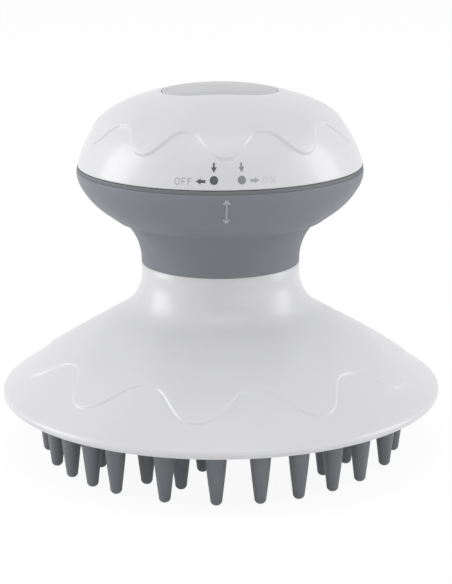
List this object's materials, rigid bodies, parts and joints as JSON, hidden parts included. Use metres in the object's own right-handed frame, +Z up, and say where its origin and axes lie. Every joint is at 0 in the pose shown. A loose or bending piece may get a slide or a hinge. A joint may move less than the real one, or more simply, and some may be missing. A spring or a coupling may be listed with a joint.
{
  "type": "electric scalp massager",
  "caption": "Palm-held battery scalp massager: twist-off domed cap on a waisted grip above a wide conical skirt with soft massage fingers underneath.",
  "frame": {"origin": "centre of the ring of fingertips, on the plane that they stand on", "axes": "+Z up along the axis of the body; -Y is the front, where the cap's marks face; +X is to the right seen from the front"},
  "size_m": [0.109, 0.109, 0.0914],
  "materials": {
    "white_shell": "satin moulded white shell with a soft sheen",
    "badge_grey": "smooth pale grey inlay",
    "grey_shell": "satin blue-grey moulding",
    "grey_sleeve": "matt blue-grey soft moulding",
    "finger_silicone": "matt blue-grey silicone",
    "seal_rubber": "dark matt rubber",
    "white_base": "fine-grained white moulding",
    "dark_plastic": "fine-grained dark moulding",
    "steel": "plated steel",
    "brass": "bright brass",
    "cell_jacket": "printed shrink sleeve, plain colour bands",
    "red_wire": "soft red insulation",
    "black_wire": "soft black insulation"
  },
  "bodies": {
    "base": {"seam_seal": "seal_rubber", "grip_bowl": "grey_shell", "neck_sleeve": "grey_sleeve", "skirt_shell": "white_shell", "base_plate": "white_base", "finger_retainer": "white_base", "fingers_outer": "finger_silicone", "fingers_middle": "finger_silicone", "fingers_inner": "finger_silicone", "base_screws": "steel", "neck_screws": "steel", "battery_tray": "dark_plastic", "tray_screws": "steel", "battery_cells": "cell_jacket", "cell_springs": "steel", "end_contacts": "brass", "bridge_contact": "brass", "switch_block": "dark_plastic", "switch_contacts": "brass", "motor_can": "steel", "motor_end_bell": "white_base", "motor_terminals": "brass", "shaft_bush": "brass", "motor_mount": "dark_plastic", "motor_cushion": "seal_rubber", "motor_clamp": "dark_plastic", "clamp_screws": "steel", "mount_screws": "steel", "wire_plus": "red_wire", "wire_switched": "red_wire", "wire_return": "black_wire"},
    "switch": {"switch_ring": "dark_plastic", "ring_wiper": "brass"},
    "cap": {"top_cap": "white_shell", "badge_plate": "badge_grey"},
    "rotor": {"motor_shaft": "steel", "eccentric_weight": "brass"}
  },
  "joints": [
    {"name": "cap_turn", "type": "hinge", "parent": "base", "child": "switch", "pos_m": [0, 0, 0.0674], "axis": [0, 0, 1], "range_deg": [-5.3, 5.3]},
    {"name": "cap_lift", "type": "slide", "parent": "switch", "child": "cap", "axis": [0, 0, 1], "range_m": [0, 0.03]},
    {"name": "motor_spin", "type": "hinge", "parent": "base", "child": "rotor", "pos_m": [0, 0, 0.0264], "axis": [0, 0, 1], "continuous": true}
  ]
}
